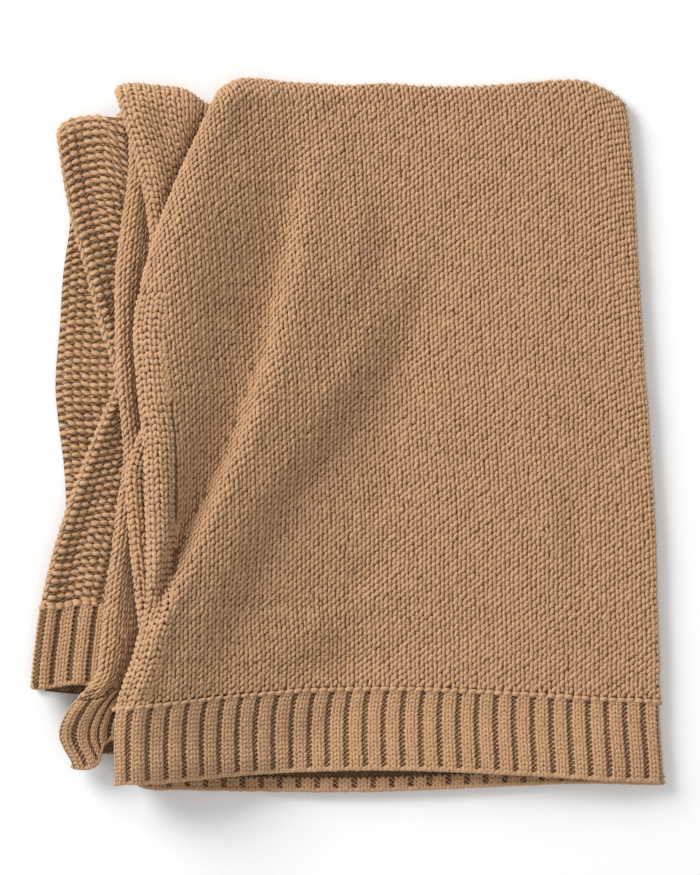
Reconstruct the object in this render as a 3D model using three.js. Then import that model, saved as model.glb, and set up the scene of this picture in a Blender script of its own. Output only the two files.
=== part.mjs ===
// A chunky knitted throw, pleated in width and then folded in half, lying flat.
// Millimetres. X runs across the folded throw, Y from the near hems to the far fold, and Z up.

import * as THREE from "three";

// The cloth: how thick the knit is, and how much height one layer takes up in the stack.
const CLOTH_THICK = 2.0;
const LAYER_PITCH = 4.2;

// The ribbed border at each end: its height, the rib spacing, how far a rib stands up,
// and the gap to the knit that it is linked to.
const BORDER_HEIGHT = 73;
const BORDER_THICK = 1.4;
const RIB_PITCH = 17;
const RIB_RISE = 0.8;
const LINK_GAP = 0.8;
const BORDER_ROWS = { front: 2, back: 1 };

// A layer may slope this much where it falls off the layers below, less on the broad hidden side.
const DRAPE_SLOPE = 0.5;
const DRAPE_SLOPE_RIGHT = 0.28;
const DRAPE_MARGIN = 15;
const DRAPE_SOFTENING = 8;
const DRAPE_STEP = 4;
const DRAPE_HALF = 316;
const HEM_FADE = 85;
const TURN_STATION = 300;

// The lengths of cloth to the left of the right-hand fold: through the pleats to the inner end,
// and along the back to the outer end.
const PLEATED_LENGTH = 765;
const BACK_LENGTH = 715;

// How far the two hidden returns reach to the right of the left-hand edges.
const MAIN_RETURN = 26;
const SECOND_RETURN = 46;

// Where the whole folded throw is set down, so that its box is centred.
const SET_DOWN = new THREE.Vector3(-0.3, -0.5, 0);

// Steps of the mesh, and how they crowd towards the pleats on the back and the ridge on the main
// panel. The ridge's foot keeps clear of the panel's left edge.
const FOLD_STEPS = 3;
const LENGTH_STEPS = 9;
const TURN_STEPS = 4;
const BACK_STEP_BIAS = 0.6;
const MAIN_STEP_BIAS = 1.25;
const CREST_CLEARANCE = 24;
const FOOT_SHARE = 0.45;

// The corners of one rib, as shares of its width: foot, shoulder, shoulder, foot.
const RIB_CORNERS = [
  { at: 0.08, rise: -RIB_RISE },
  { at: 0.42, rise: RIB_RISE },
  { at: 0.58, rise: RIB_RISE },
  { at: 0.92, rise: -RIB_RISE },
];

// The stations along Y where the mesh columns of the body's joint and of the borders are set out.
const JOINT_STATION = -230;
const BORDER_STATION = -290;

const CAMEL = new THREE.Color(0xb08a62);

// The left and right edges of the layers, in rows from the far end to the near one.
const FOLD_LINES = {
  columns: ["y", "mainRight", "mainLeft", "secondLeft", "rollLeft", "outerLeft", "innerLeft"],
  rows: [
    [350, 240, -112, -213, -204, -274, -268],
    [300, 254, -125, -206, -200, -268, -262],
    [250, 260, -147, -191, -198, -261, -256],
    [200, 263, -167, -181, -204, -252, -253],
    [150, 266, -183, -179, -210, -238, -260],
    [100, 269, -193, -185, -211, -225, -263],
    [50, 272, -190, -182, -209, -211, -267],
    [0, 276, -184, -177, -204, -231, -263],
    [-50, 279, -182, -175, -206, -250, -257],
    [-100, 282, -181, -174, -214, -267, -258],
    [-150, 283, -183, -176, -221, -279, -266],
    [-200, 285, -194, -187, -227, -286, -273],
    [-250, 286, -210, -202, -236, -290, -278],
    [-300, 289, -212, -204, -250, -290, -278],
    [-350, 290, -212, -204, -258, -290, -278],
  ],
};

// The outline of the far fold, seen from above.
const FAR_OUTLINE = {
  columns: ["x", "y"],
  rows: [
    [-290, 262],
    [-264, 274],
    [-252, 285],
    [-228, 297],
    [-204, 312],
    [-185, 319],
    [-160, 319],
    [-125, 316],
    [-100, 321],
    [-75, 325],
    [0, 322],
    [90, 318],
    [145, 321],
    [205, 326],
    [222, 325],
    [237, 319],
    [250, 309],
    [262, 296],
  ],
};

// The hems of the front and back halves, at places along each layer.
const HEMS = {
  columns: ["layer", "along", "front", "back"],
  rows: [
    ["tail", 0, -285, -280],
    ["tail", 1, -296, -285],
    ["roll", 0, -298, -286],
    ["roll", 1, -282, -290],
    ["secondUnder", 0, -280, -292],
    ["secondUnder", 1, -281, -294],
    ["second", 0, -281, -296],
    ["second", 1, -284, -298],
    ["mainUnder", 0, -286, -300],
    ["mainUnder", 1, -313, -314],
    ["main", 0, -314, -315],
    ["main", 0.25, -306, -316],
    ["main", 0.5, -303, -317],
    ["main", 0.75, -308, -316],
    ["main", 1, -315, -312],
    ["back", 0, -317, -311],
    ["back", 0.14, -316, -306],
    ["back", 0.45, -323, -304],
    ["back", 0.64, -321, -300],
    ["back", 0.77, -275, -270],
    ["back", 0.9, -222, -232],
    ["back", 1, -229, -230],
    ["backUnder", 0, -230, -230],
    ["backUnder", 1, -236, -232],
    ["last", 0, -237, -233],
    ["last", 1, -232, -230],
  ],
};

// The long diagonal ridge across the main panel: its crest line and height.
const RIDGE = {
  columns: ["y", "crest", "height"],
  rows: [
    [330, 70, 0],
    [270, 26, 2],
    [215, -10, 7],
    [170, -43, 12],
    [124, -58, 14],
    [74, -72, 14],
    [11, -97, 14],
    [-30, -113, 14],
    [-72, -133, 14],
    [-119, -153, 13],
    [-148, -166, 12],
    [-199, -180, 10],
    [-230, -190, 8],
    [-330, -194, 5],
  ],
};
const RIDGE_STEEP_SIDE = 17;
const RIDGE_GENTLE_SIDE = 46;

// The rounded roll along the left edge of the main panel, strongest towards the far end.
const EDGE_ROLL = {
  columns: ["y", "height"],
  rows: [
    [330, 5],
    [200, 8],
    [100, 5],
    [0, 2.5],
    [-150, 2],
    [-230, 4],
    [-330, 3],
  ],
};
const EDGE_ROLL_INSET = 12;
const EDGE_ROLL_WIDTH = 18;

// A low swell to the right of the ridge, and the lift of the near hem that opens its mouth.
const SWELL = { height: 3, width: 62, x: 118, lean: 0.42 };
const MOUTH = { lift: 5, reach: 70, inset: 60 };

// The layers in the order of the cloth, from the inner end to the outer one. Each has the steps
// of its mesh, and whether its ribs show.
const LAYERS = [
  { name: "tail", steps: 6, ribbed: false },
  { name: "roll", steps: 4, ribbed: true },
  { name: "secondUnder", steps: 3, ribbed: false },
  { name: "second", steps: 4, ribbed: false },
  { name: "mainUnder", steps: 3, ribbed: false },
  { name: "main", steps: 16, ribbed: true },
  { name: "back", steps: 20, ribbed: true },
  { name: "backUnder", steps: 5, ribbed: false },
  { name: "last", steps: 6, ribbed: false },
];

// The order in which the layers lie on each other in the front half, lowest first. The back half,
// under it, has them the other way up.
const FRONT_STACK = [
  "last", "backUnder", "back", "tail", "roll", "secondUnder", "second", "mainUnder", "main",
];

// The value of one column of a table at a place, on a smooth curve through the rows.
function smoothAt(rows, place, column, key = 0) {
  const rising = rows[rows.length - 1][key] > rows[0][key];
  const at = (i) => (rising ? rows[i][key] : -rows[i][key]);
  const want = rising ? place : -place;
  const last = rows.length - 1;
  if (want <= at(0)) return rows[0][column];
  if (want >= at(last)) return rows[last][column];
  let i = 0;
  while (want > at(i + 1)) i += 1;
  const slope = (k) => {
    const before = Math.max(k - 1, 0);
    const after = Math.min(k + 1, last);
    return (rows[after][column] - rows[before][column]) / (at(after) - at(before));
  };
  const span = at(i + 1) - at(i);
  const f = (want - at(i)) / span;
  const g = 1 - f;
  const start = rows[i][column] * (1 + 2 * f) + slope(i) * span * f;
  const end = rows[i + 1][column] * (1 + 2 * g) - slope(i + 1) * span * g;
  return g * g * start + f * f * end;
}

function share(value) {
  return Math.min(Math.max(value, 0), 1);
}

function smoothStep(value) {
  const f = share(value);
  return f * f * (3 - 2 * f);
}

// A place along the cloth is one number: layer k runs from 2k to 2k + 1, and the fold after it
// from 2k + 1 to 2k + 2.
const PATH_END = 2 * LAYERS.length - 1;
const layerIndex = new Map(LAYERS.map((layer, k) => [layer.name, k]));

const hemRows = HEMS.rows.map(([layer, along, front, back]) => [
  2 * layerIndex.get(layer) + along,
  front,
  back,
]);

function hemAt(path, half) {
  return smoothAt(hemRows, path, half === "front" ? 1 : 2);
}

// The two ends of every layer at a station along Y, at the outside of the folds.
function layerEnds(y) {
  const edge = {};
  FOLD_LINES.columns.forEach((name, column) => {
    edge[name] = smoothAt(FOLD_LINES.rows, y, column);
  });
  const secondRight = Math.max(edge.mainLeft, edge.secondLeft) + MAIN_RETURN;
  const rollRight = Math.max(edge.secondLeft, edge.rollLeft) + SECOND_RETURN;
  const pleats = edge.mainRight - edge.mainLeft + (secondRight - edge.mainLeft)
    + (secondRight - edge.secondLeft) + (rollRight - edge.secondLeft) + (rollRight - edge.rollLeft);
  const tailEnd = edge.rollLeft + (PLEATED_LENGTH - pleats);
  const spare = BACK_LENGTH - (edge.mainRight - edge.outerLeft);
  const backFold = (spare + edge.outerLeft + edge.innerLeft) / 2;
  return [
    [tailEnd, edge.rollLeft],
    [edge.rollLeft, rollRight],
    [rollRight, edge.secondLeft],
    [edge.secondLeft, secondRight],
    [secondRight, edge.mainLeft],
    [edge.mainLeft, edge.mainRight],
    [edge.mainRight, edge.outerLeft],
    [edge.outerLeft, backFold],
    [backFold, edge.innerLeft],
  ];
}

// The soft folds that stand up on the main panel.
function mainRelief(x, y, left, right) {
  const crest = smoothAt(RIDGE.rows, y, 1);
  const width = x < crest ? RIDGE_STEEP_SIDE : RIDGE_GENTLE_SIDE;
  const ridge = smoothAt(RIDGE.rows, y, 2) * Math.exp(-(((x - crest) / width) ** 2));
  const fromRoll = (x - left - EDGE_ROLL_INSET) / EDGE_ROLL_WIDTH;
  const roll = smoothAt(EDGE_ROLL.rows, y, 1) * Math.exp(-(fromRoll ** 2));
  const fromSwell = (x - SWELL.x - SWELL.lean * y) / SWELL.width;
  const swell = SWELL.height * Math.exp(-(fromSwell ** 2));
  const inside = smoothStep((x - left) / MOUTH.inset) * smoothStep((right - x) / MOUTH.inset);
  const hem = hemAt(2 * layerIndex.get("main") + 0.5, "front");
  const near = smoothStep((hem + MOUTH.reach - y) / MOUTH.reach);
  return ridge + roll + swell + MOUTH.lift * inside * near;
}

const gridCount = Math.round((2 * DRAPE_HALF) / DRAPE_STEP) + 1;
const gridX = Array.from({ length: gridCount }, (_, i) => -DRAPE_HALF + i * DRAPE_STEP);

function onGrid(levels, x) {
  const place = Math.min(Math.max((x + DRAPE_HALF) / DRAPE_STEP, 0), gridCount - 1.001);
  const i = Math.floor(place);
  return levels[i] + (levels[i + 1] - levels[i]) * (place - i);
}

// The surface that a layer takes over what lies below: nowhere steeper than cloth hangs, and soft.
function drapeOver(heap) {
  const over = heap.slice();
  for (let i = 1; i < gridCount; i += 1) {
    over[i] = Math.max(over[i], over[i - 1] - DRAPE_SLOPE_RIGHT * DRAPE_STEP);
  }
  for (let i = gridCount - 2; i >= 0; i -= 1) {
    over[i] = Math.max(over[i], over[i + 1] - DRAPE_SLOPE * DRAPE_STEP);
  }
  let soft = over;
  for (let pass = 0; pass < DRAPE_SOFTENING; pass += 1) {
    const from = soft;
    soft = from.map((level, i) => {
      const before = from[Math.max(i - 1, 0)];
      const after = from[Math.min(i + 1, gridCount - 1)];
      return (before + 2 * level + after) / 4;
    });
  }
  return soft;
}

// The middle height of every layer at a station, on the grid, for the front and back halves.
function layerLevels(y) {
  const ends = layerEnds(y);
  const heap = new Array(gridCount).fill(0);
  const levels = { front: [], back: [] };
  const lay = (name, half) => {
    const k = layerIndex.get(name);
    const [from, to] = ends[k];
    const low = Math.min(from, to);
    const high = Math.max(from, to);
    const under = drapeOver(heap);
    const middle = under.map((level, i) => {
      const rise = (under[Math.min(i + 1, gridCount - 1)] - under[Math.max(i - 1, 0)])
        / (2 * DRAPE_STEP);
      return level + (CLOTH_THICK / 2) * Math.hypot(1, rise);
    });
    const along = (x) => share((x - from) / (to - from));
    gridX.forEach((x, i) => {
      const covered = share((x - low + DRAPE_MARGIN) / DRAPE_STEP)
        * share((high + DRAPE_MARGIN - x) / DRAPE_STEP);
      if (covered === 0) return;
      const shown = covered * smoothStep((y - hemAt(2 * k + along(x), half)) / HEM_FADE + 1);
      const stretch = (middle[i] - under[i]) / (CLOTH_THICK / 2);
      heap[i] += (under[i] + LAYER_PITCH * stretch - heap[i]) * shown;
    });
    levels[half][k] = middle;
  };
  [...FRONT_STACK].reverse().forEach((name) => lay(name, "back"));
  FRONT_STACK.forEach((name) => lay(name, "front"));
  const main = layerIndex.get("main");
  const [left, right] = ends[main];
  levels.front[main] = levels.front[main].map(
    (level, i) => level + mainRelief(gridX[i], y, left, right),
  );
  return { ends, levels, top: drapeOver(heap) };
}

const stationCache = new Map();

function stationAt(y) {
  const key = y.toFixed(4);
  if (!stationCache.has(key)) stationCache.set(key, layerLevels(y));
  return stationCache.get(key);
}

// Where a fold between two layers begins: far enough inside its outline for the cloth's own bend.
function foldAt(station, half, k) {
  const outline = station.ends[k][1];
  const side = outline > station.ends[k][0] ? 1 : -1;
  const levels = station.levels[half];
  let inset = LAYER_PITCH / 2 + CLOTH_THICK / 2;
  for (let pass = 0; pass < 3; pass += 1) {
    const gap = Math.abs(onGrid(levels[k], outline - side * inset)
      - onGrid(levels[k + 1], outline - side * inset));
    inset = gap / 2 + CLOTH_THICK / 2;
  }
  const x = outline - side * inset;
  return { x, side, before: onGrid(levels[k], x), after: onGrid(levels[k + 1], x) };
}

// The middle of the cloth in the section at one station: x and z at a place along the path.
function sectionPoint(y, half, path) {
  const station = stationAt(y);
  const bounded = Math.min(Math.max(path, 0), PATH_END);
  const piece = Math.min(Math.floor(bounded), PATH_END - 1);
  const k = piece >> 1;
  const f = bounded - piece;
  if (piece % 2 === 1) {
    const fold = foldAt(station, half, k);
    const radius = Math.abs(fold.after - fold.before) / 2;
    const middle = (fold.after + fold.before) / 2;
    return {
      x: fold.x + fold.side * radius * Math.sin(Math.PI * f),
      z: middle + ((fold.before - fold.after) / 2) * Math.cos(Math.PI * f),
    };
  }
  const start = k > 0 ? foldAt(station, half, k - 1).x : station.ends[k][0];
  const end = k < LAYERS.length - 1 ? foldAt(station, half, k).x : station.ends[k][1];
  const x = start + (end - start) * f;
  return { x, z: onGrid(station.levels[half][k], x) };
}

// The line about which the layers turn over at the far end, one inside the other. The outline that
// shows there is the outermost layer's.
function turnLine(path) {
  const { x } = sectionPoint(TURN_STATION, "front", path);
  const radius = (onGrid(stationAt(TURN_STATION).top, x) - LAYER_PITCH) / 2;
  return smoothAt(FAR_OUTLINE.rows, x, 1) - radius - CLOTH_THICK / 2;
}

// The middle of the cloth anywhere: front half from its hem to the turn for along 0 to 1, round
// the turn for 1 to 2, and the back half from the turn to its hem for 2 to 3.
function clothPoint(path, along, hems) {
  const turnY = turnLine(path);
  if (along <= 1) {
    const y = hems.front + (turnY - hems.front) * along;
    const { x, z } = sectionPoint(y, "front", path);
    return new THREE.Vector3(x, y, z);
  }
  if (along >= 2) {
    const y = turnY + (hems.back - turnY) * (along - 2);
    const { x, z } = sectionPoint(y, "back", path);
    return new THREE.Vector3(x, y, z);
  }
  const front = sectionPoint(turnY, "front", path);
  const back = sectionPoint(turnY, "back", path);
  const angle = Math.PI * (along - 1);
  const radius = (front.z - back.z) / 2;
  return new THREE.Vector3(
    (front.x + back.x) / 2 + ((front.x - back.x) / 2) * Math.cos(angle),
    turnY + radius * Math.sin(angle),
    (front.z + back.z) / 2 + radius * Math.cos(angle),
  );
}

// The direction square to the cloth, from its slopes along and across.
function clothNormal(path, along, hems) {
  const acrossStep = 0.02;
  const alongStep = 0.004;
  const before = Math.max(path - acrossStep, 0);
  const after = Math.min(path + acrossStep, PATH_END);
  const across = clothPoint(after, along, hems).sub(clothPoint(before, along, hems));
  const low = Math.max(along - alongStep, 0);
  const high = Math.min(along + alongStep, 3);
  const forward = clothPoint(path, high, hems).sub(clothPoint(path, low, hems));
  return across.cross(forward).normalize();
}

// The places along the path where the mesh has points, at one station.
function bodyPath(y) {
  const places = [];
  LAYERS.forEach((layer, k) => {
    for (let i = 0; i <= layer.steps; i += 1) {
      places.push(2 * k + shareAcross(layer, i, y));
    }
    if (k === LAYERS.length - 1) return;
    for (let i = 1; i < FOLD_STEPS; i += 1) places.push(2 * k + 1 + i / FOLD_STEPS);
  });
  return places;
}

// How far across its layer a step lies. The back has closer steps under the pleats, on its left.
function shareAcross(layer, step, y) {
  if (layer.name === "main") return mainStep(step, layer.steps, y);
  const even = step / layer.steps;
  return layer.name === "back" ? even ** BACK_STEP_BIAS : even;
}

// Steps across the main panel, with lines of points along the ridge's foot and crest.
function mainStep(i, steps, y) {
  const [left, right] = layerEnds(y)[layerIndex.get("main")];
  const crest = Math.max(smoothAt(RIDGE.rows, y, 1), left + CREST_CLEARANCE);
  const foot = Math.max(crest - 2 * RIDGE_STEEP_SIDE, left + FOOT_SHARE * (crest - left));
  const strip = foot - left;
  const stops = [left, left + strip / 3, left + (2 * strip) / 3, foot, (foot + crest) / 2, crest];
  let x = stops[i];
  if (i >= stops.length) {
    const beyond = (i - stops.length + 1) / (steps - stops.length + 1);
    x = crest + (right - crest) * beyond ** MAIN_STEP_BIAS;
  }
  return (x - left) / (right - left);
}

// A closed solid from a grid of points on the middle of the cloth and their normals, each square
// of it split along its shorter diagonal. It lies flat on the surface, which is at height 0.
function sheetSolid(points, normals, thick) {
  const rows = points.length;
  const columns = points[0].length;
  const positions = [];
  [1, -1].forEach((side) => {
    points.forEach((row, j) => {
      row.forEach((point, i) => {
        const shifted = point.clone().addScaledVector(normals[j][i], (side * thick) / 2);
        positions.push(shifted.x, shifted.y, Math.max(shifted.z, 0));
      });
    });
  });
  const index = [];
  const at = (side, j, i) => side * rows * columns + j * columns + i;
  const quad = (a, b, c, d) => index.push(a, b, c, a, c, d);
  for (let j = 0; j < rows - 1; j += 1) {
    for (let i = 0; i < columns - 1; i += 1) {
      const rising = points[j][i].distanceTo(points[j + 1][i + 1]);
      const falling = points[j][i + 1].distanceTo(points[j + 1][i]);
      if (rising < falling) {
        quad(at(0, j, i), at(0, j, i + 1), at(0, j + 1, i + 1), at(0, j + 1, i));
        quad(at(1, j + 1, i + 1), at(1, j, i + 1), at(1, j, i), at(1, j + 1, i));
      } else {
        quad(at(0, j, i + 1), at(0, j + 1, i + 1), at(0, j + 1, i), at(0, j, i));
        quad(at(1, j + 1, i), at(1, j + 1, i + 1), at(1, j, i + 1), at(1, j, i));
      }
    }
  }
  for (let i = 0; i < columns - 1; i += 1) {
    quad(at(0, 0, i), at(1, 0, i), at(1, 0, i + 1), at(0, 0, i + 1));
    quad(at(0, rows - 1, i), at(0, rows - 1, i + 1), at(1, rows - 1, i + 1), at(1, rows - 1, i));
  }
  for (let j = 0; j < rows - 1; j += 1) {
    quad(at(0, j, 0), at(0, j + 1, 0), at(1, j + 1, 0), at(1, j, 0));
    quad(at(0, j, columns - 1), at(1, j, columns - 1), at(1, j + 1, columns - 1),
      at(0, j + 1, columns - 1));
  }
  const geometry = new THREE.BufferGeometry();
  geometry.setAttribute("position", new THREE.Float32BufferAttribute(positions, 3));
  geometry.setIndex(index);
  geometry.computeVertexNormals();
  return geometry;
}

// The hem under each column of the body's mesh, and the same on straight lines between columns.
const jointPath = bodyPath(JOINT_STATION);
const hemKnots = jointPath.map((path) => [path, hemAt(path, "front"), hemAt(path, "back")]);

function hemsAt(path) {
  let i = 0;
  while (i < hemKnots.length - 2 && path > hemKnots[i + 1][0]) i += 1;
  const [start, frontA, backA] = hemKnots[i];
  const [end, frontB, backB] = hemKnots[i + 1];
  const f = share((path - start) / (end - start));
  return { front: frontA + (frontB - frontA) * f, back: backA + (backB - backA) * f };
}

// How far along the front or back half a distance from its hem lies.
function shareAbove(path, hems, half, distance) {
  return distance / (turnLine(path) - hems[half]);
}

function knitBody() {
  const points = [];
  const normals = [];
  const rowAt = (alongOf, yOf) => {
    const row = [];
    const rowNormals = [];
    jointPath.forEach((joint, i) => {
      const hems = hemsAt(joint);
      const along = alongOf(joint, hems);
      const path = bodyPath(yOf(joint, hems, along))[i];
      row.push(clothPoint(path, along, hems));
      rowNormals.push(clothNormal(path, along, hems));
    });
    points.push(row);
    normals.push(rowNormals);
  };
  const start = BORDER_HEIGHT + LINK_GAP;
  for (let j = 0; j <= LENGTH_STEPS; j += 1) {
    const f = j / LENGTH_STEPS;
    rowAt(
      (path, hems) => f + (1 - f) * shareAbove(path, hems, "front", start),
      (path, hems, along) => hems.front + (turnLine(path) - hems.front) * along,
    );
  }
  for (let j = 1; j < TURN_STEPS; j += 1) {
    rowAt(() => 1 + j / TURN_STEPS, (path) => turnLine(path));
  }
  for (let j = 0; j <= LENGTH_STEPS; j += 1) {
    const f = 1 - j / LENGTH_STEPS;
    rowAt(
      (path, hems) => 3 - f - (1 - f) * shareAbove(path, hems, "back", start),
      (path, hems, along) => turnLine(path) + (hems.back - turnLine(path)) * (along - 2),
    );
  }
  return sheetSolid(points, normals, CLOTH_THICK);
}

// Places along the path for a border, four to each rib that shows.
function borderPath(y) {
  const places = [];
  LAYERS.forEach((layer, k) => {
    const [from, to] = layerEnds(y)[k];
    places.push({ path: 2 * k, rise: 0 });
    if (layer.ribbed) {
      const ribs = Math.round(Math.abs(to - from) / RIB_PITCH);
      for (let rib = 0; rib < ribs; rib += 1) {
        RIB_CORNERS.forEach(({ at, rise }) => {
          places.push({ path: 2 * k + (rib + at) / ribs, rise });
        });
      }
    } else {
      for (let i = 1; i < layer.steps; i += 1) places.push({ path: 2 * k + i / layer.steps, rise: 0 });
    }
    places.push({ path: 2 * k + 1, rise: 0 });
    if (k === LAYERS.length - 1) return;
    for (let i = 1; i < FOLD_STEPS; i += 1) places.push({ path: 2 * k + 1 + i / FOLD_STEPS, rise: 0 });
  });
  return places;
}

function ribBorder(half) {
  const places = borderPath(BORDER_STATION);
  const points = [];
  const normals = [];
  for (let j = 0; j <= BORDER_ROWS[half]; j += 1) {
    const row = [];
    const rowNormals = [];
    places.forEach(({ path, rise }) => {
      const hems = hemsAt(path);
      const above = shareAbove(path, hems, half, (BORDER_HEIGHT * j) / BORDER_ROWS[half]);
      const along = half === "front" ? above : 3 - above;
      const normal = clothNormal(path, along, hems);
      row.push(clothPoint(path, along, hems).addScaledVector(normal, rise));
      rowNormals.push(normal);
    });
    points.push(row);
    normals.push(rowNormals);
  }
  if (half === "back") {
    points.reverse();
    normals.reverse();
  }
  return sheetSolid(points, normals, BORDER_THICK);
}

const yarn = new THREE.MeshStandardMaterial({ color: CAMEL, roughness: 0.95, metalness: 0 });
const ribYarn = new THREE.MeshStandardMaterial({
  color: CAMEL.clone().multiplyScalar(0.94),
  roughness: 0.95,
  metalness: 0,
});

function namedMesh(name, geometry, material) {
  const mesh = new THREE.Mesh(geometry, material);
  mesh.name = name;
  mesh.position.copy(SET_DOWN);
  return mesh;
}

const throwGroup = new THREE.Group();
throwGroup.add(namedMesh("knit_body", knitBody(), yarn));
throwGroup.add(namedMesh("rib_border_front", ribBorder("front"), ribYarn));
throwGroup.add(namedMesh("rib_border_back", ribBorder("back"), ribYarn));

export default throwGroup;
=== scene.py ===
import logging
import math
from dataclasses import dataclass, field
from enum import Enum

import bmesh
import bpy
import numpy as np
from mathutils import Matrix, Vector


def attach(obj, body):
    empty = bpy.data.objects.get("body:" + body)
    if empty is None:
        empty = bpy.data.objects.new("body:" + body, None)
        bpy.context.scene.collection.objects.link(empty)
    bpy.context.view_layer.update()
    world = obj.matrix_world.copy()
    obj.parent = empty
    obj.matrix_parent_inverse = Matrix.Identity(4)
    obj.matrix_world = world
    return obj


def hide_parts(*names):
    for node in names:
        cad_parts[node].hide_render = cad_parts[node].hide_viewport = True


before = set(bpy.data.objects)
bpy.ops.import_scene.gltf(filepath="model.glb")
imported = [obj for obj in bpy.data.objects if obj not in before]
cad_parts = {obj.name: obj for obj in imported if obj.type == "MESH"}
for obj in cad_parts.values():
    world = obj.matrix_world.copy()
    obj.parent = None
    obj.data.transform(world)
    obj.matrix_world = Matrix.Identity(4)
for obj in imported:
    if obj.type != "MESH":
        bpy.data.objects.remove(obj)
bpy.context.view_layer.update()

log = logging.getLogger("throw")
MM = 0.001
CAMEL = (0.64, 0.385, 0.205)
DEEP_CAMEL = (0.48, 0.27, 0.135)
# SHADE is painted shade: the darkest colour of the sheet between the stitches
SHADE = (0.16, 0.085, 0.04)


class Half(Enum):
    """The two halves of the throw: the upper one, and the one folded under it."""

    FRONT = 1
    BACK = 2


class Face(Enum):
    """The two faces of plain knit."""

    KNIT = 1
    PURL = -1


LAYERS = ("tail", "roll", "second_under", "second", "main_under", "main", "back", "back_under",
          "last")
FRONT_STACK = ("last", "back_under", "back", "tail", "roll", "second_under", "second",
               "main_under", "main")
PATH_END = 2 * len(LAYERS) - 1
# the place along the throw's length at the middle of the far turn
MID_TURN = 1.5
# what comes off a grid's size, so that every place in it has a next point
LAST_CELL = 1.001
TINY = 1e-6
# the columns of the fold lines whose edges lie over each layer that shows
EDGES_OVER = {"second": (2,), "roll": (2, 3), "back": (2, 3, 4), "last": (5,)}


def path_of(layer: str, along: float = 0.0) -> float:
    """The place along the folded cloth of a point of a layer.

    Args:
        layer: the layer's name.
        along: 0 at the layer's first fold and 1 at its last.

    Returns:
        The path number.
    """
    return 2 * LAYERS.index(layer) + along


@dataclass(frozen=True)
class SmoothTable:
    """A short table that is read on a smooth curve through its rows."""

    rows: tuple

    def at(self, place: np.ndarray, column: int) -> np.ndarray:
        """Reads one column.

        Args:
            place: values of the first column.
            column: the column that is read.

        Returns:
            The smooth values at those places.
        """
        table = np.array(self.rows, dtype=float)
        table = table[np.argsort(table[:, 0])]
        keys, values = table[:, 0], table[:, column]
        after = np.minimum(np.arange(len(keys)) + 1, len(keys) - 1)
        before = np.maximum(np.arange(len(keys)) - 1, 0)
        slope = (values[after] - values[before]) / (keys[after] - keys[before])
        x = np.clip(place, keys[0], keys[-1])
        i = np.clip(np.searchsorted(keys, x) - 1, 0, len(keys) - 2)
        span = keys[i + 1] - keys[i]
        f = (x - keys[i]) / span
        g = 1 - f
        start = values[i] * (1 + 2 * f) + slope[i] * span * f
        end = values[i + 1] * (1 + 2 * g) - slope[i + 1] * span * g
        return g * g * start + f * f * end


def smooth_step(value: np.ndarray) -> np.ndarray:
    """A soft step from 0 to 1."""
    f = np.clip(value, 0.0, 1.0)
    return f * f * (3 - 2 * f)


def read_grid(table: np.ndarray, row: np.ndarray, column: np.ndarray) -> np.ndarray:
    """Reads a grid between its points.

    Args:
        table: the grid, of numbers or of points.
        row: places down the grid.
        column: places across it.

    Returns:
        The values there, held at the grid's edges.
    """
    row = np.clip(row, 0, table.shape[0] - LAST_CELL)
    column = np.clip(column, 0, table.shape[1] - LAST_CELL)
    i, j = column.astype(int), row.astype(int)
    u, v = column - i, row - j
    if table.ndim == 3:
        u, v = u[..., None], v[..., None]
    near = table[j, i] * (1 - u) + table[j, i + 1] * u
    far = table[j + 1, i] * (1 - u) + table[j + 1, i + 1] * u
    return near * (1 - v) + far * v


def run(points: np.ndarray, axis: int) -> np.ndarray:
    """Lengths along a row of points, or along every row of a grid, from its first point."""
    steps = np.linalg.norm(np.diff(points, axis=axis), axis=-1)
    pad = [(1 if i == axis else 0, 0) for i in range(steps.ndim)]
    return np.pad(np.cumsum(steps, axis=axis), pad)


def facing(points: np.ndarray) -> np.ndarray:
    """The direction that each point of a grid faces."""
    normal = np.cross(np.gradient(points, axis=1), np.gradient(points, axis=0))
    return normal / np.maximum(np.linalg.norm(normal, axis=2, keepdims=True), TINY)


def grid_mesh(name: str, columns: int, rows: int, size: float) -> bpy.types.Mesh:
    """A flat grid of faces as a mesh."""
    shape = bmesh.new()
    bmesh.ops.create_grid(shape, x_segments=columns, y_segments=rows, size=size)
    mesh = bpy.data.meshes.new(name)
    shape.to_mesh(mesh)
    shape.free()
    return mesh


def place_object(name: str, data: bpy.types.ID) -> bpy.types.Object:
    """Puts a mesh, lamp or camera into the scene, at the origin."""
    obj = bpy.data.objects.new(name, data)
    bpy.context.scene.collection.objects.link(obj)
    return obj


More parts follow.
